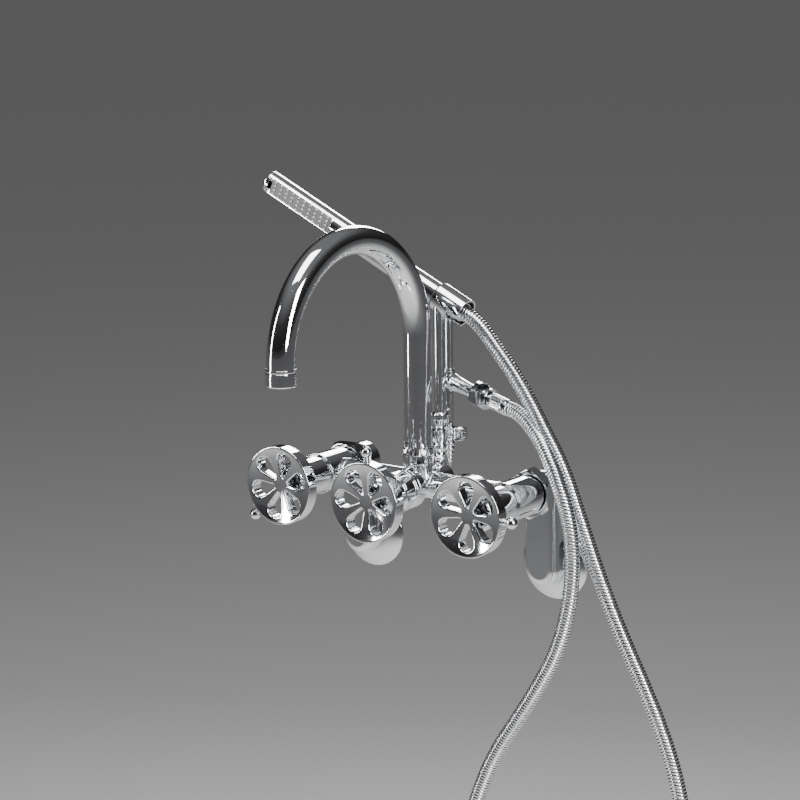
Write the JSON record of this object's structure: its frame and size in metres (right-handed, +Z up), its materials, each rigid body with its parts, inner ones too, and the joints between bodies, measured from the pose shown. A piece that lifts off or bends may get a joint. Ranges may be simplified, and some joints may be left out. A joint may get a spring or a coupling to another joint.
{
  "type": "wall mounted bath faucet",
  "caption": "Wall bath faucet on two swing arms, with wheel taps, a diverter wheel, a gooseneck spout, and a hand shower on a ribbed hose resting in a riser cradle.",
  "frame": {"origin": "on the wall plane, halfway between the two wall inlets", "axes": "+Y into the wall, +Z up, +X towards the cold tap on the right"},
  "size_m": [0.4827, 0.2954, 0.7594],
  "materials": {
    "chrome": "polished chrome plate",
    "brass": "machined brass",
    "seal_rubber": "black rubber",
    "ceramic": "lapped ceramic",
    "spray_plate": "satin dark grey plastic",
    "nozzle_rubber": "off-white silicone",
    "aerator_plastic": "grey plastic",
    "hose_metal": "chromed interlocked metal hose"
  },
  "bodies": {
    "mixer": {"mixer_body": "chrome", "hot_cartridge": "brass", "cold_cartridge": "brass", "diverter_cartridge": "brass", "fixed_discs": "ceramic", "cartridge_seals": "seal_rubber", "hot_bonnet": "chrome", "cold_bonnet": "chrome", "diverter_bonnet": "chrome", "union_nuts": "chrome", "union_washers": "seal_rubber", "spout_nut": "chrome", "riser_tube": "chrome", "riser_foot": "chrome", "riser_clamp": "chrome", "drop_tube": "chrome", "drop_rod": "chrome", "drop_finial": "chrome", "hose_outlet": "chrome", "cradle": "chrome", "cradle_liner": "seal_rubber", "outlet_washer": "seal_rubber", "outlet_hex": "chrome", "hose_ferrule": "chrome", "hose": "hose_metal"},
    "hot_handle": {"hot_wheel": "chrome", "hot_ball": "chrome", "hot_stem": "brass", "hot_disc": "ceramic"},
    "cold_handle": {"cold_wheel": "chrome", "cold_ball": "chrome", "cold_stem": "brass", "cold_disc": "ceramic"},
    "diverter_handle": {"diverter_wheel": "chrome", "diverter_ball": "chrome", "diverter_stem": "brass", "diverter_disc": "ceramic"},
    "spout": {"spout_tube": "chrome", "spout_spigot": "brass", "spout_seals": "seal_rubber", "aerator_housing": "chrome", "aerator_insert": "aerator_plastic", "aerator_seal": "seal_rubber"},
    "left_swing": {"left_arm": "chrome"},
    "right_swing": {"right_arm": "chrome"},
    "left_inlet": {"left_nipple": "brass", "left_flange": "chrome", "left_nipple_seal": "seal_rubber"},
    "right_inlet": {"right_nipple": "brass", "right_flange": "chrome", "right_nipple_seal": "seal_rubber"},
    "shower_end": {"tail_nut": "chrome", "hose_cone": "chrome", "shower_washer": "seal_rubber"},
    "handset": {"shower_handle": "chrome", "shower_end_cap": "chrome", "spray_plate": "spray_plate", "spray_nozzles": "nozzle_rubber", "shower_tail": "chrome"},
    "knob": {"clamp_knob": "chrome"}
  },
  "joints": [
    {"name": "hot_turn", "type": "hinge", "parent": "mixer", "child": "hot_handle", "pos_m": [-0.104, -0.146, 0.073], "axis": [0, -1, 0], "range_deg": [-45, 45]},
    {"name": "cold_turn", "type": "hinge", "parent": "mixer", "child": "cold_handle", "pos_m": [0.104, -0.146, 0.073], "axis": [0, -1, 0], "range_deg": [-90, 0]},
    {"name": "diverter_turn", "type": "hinge", "parent": "mixer", "child": "diverter_handle", "pos_m": [0, -0.154, 0.073], "axis": [0, -1, 0], "range_deg": [-90, 90]},
    {"name": "spout_turn", "type": "hinge", "parent": "mixer", "child": "spout", "pos_m": [0, -0.07, 0.09], "axis": [0, 0, 1], "range_deg": [-90, 90]},
    {"name": "left_swing", "type": "hinge", "parent": "mixer", "child": "left_swing", "pos_m": [-0.104, -0.03, 0.073], "axis": [0, 1, 0], "range_deg": [-60, 60]},
    {"name": "right_swing", "type": "hinge", "parent": "mixer", "child": "right_swing", "pos_m": [0.104, -0.03, 0.073], "axis": [0, 1, 0], "range_deg": [-60, 60]},
    {"name": "left_inlet_turn", "type": "hinge", "parent": "left_swing", "child": "left_inlet", "pos_m": [-0.104, 0, 0], "axis": [0, 1, 0], "range_deg": [-60, 60]},
    {"name": "right_inlet_turn", "type": "hinge", "parent": "right_swing", "child": "right_inlet", "pos_m": [0.104, 0, 0], "axis": [0, 1, 0], "range_deg": [-60, 60]},
    {"name": "shower_slide", "type": "slide", "parent": "mixer", "child": "shower_end", "axis": [-0.9026, 0, 0.4305], "range_m": [0, 0.035]},
    {"name": "shower_roll", "type": "hinge", "parent": "shower_end", "child": "handset", "pos_m": [0.01, -0.02825, 0.234], "axis": [0.9026, 0, -0.4305], "range_deg": [-90, 90]},
    {"name": "knob_turn", "type": "hinge", "parent": "mixer", "child": "knob", "pos_m": [0.013, -0.0208, 0.113], "axis": [0, -1, 0], "range_deg": [-180, 180]}
  ]
}
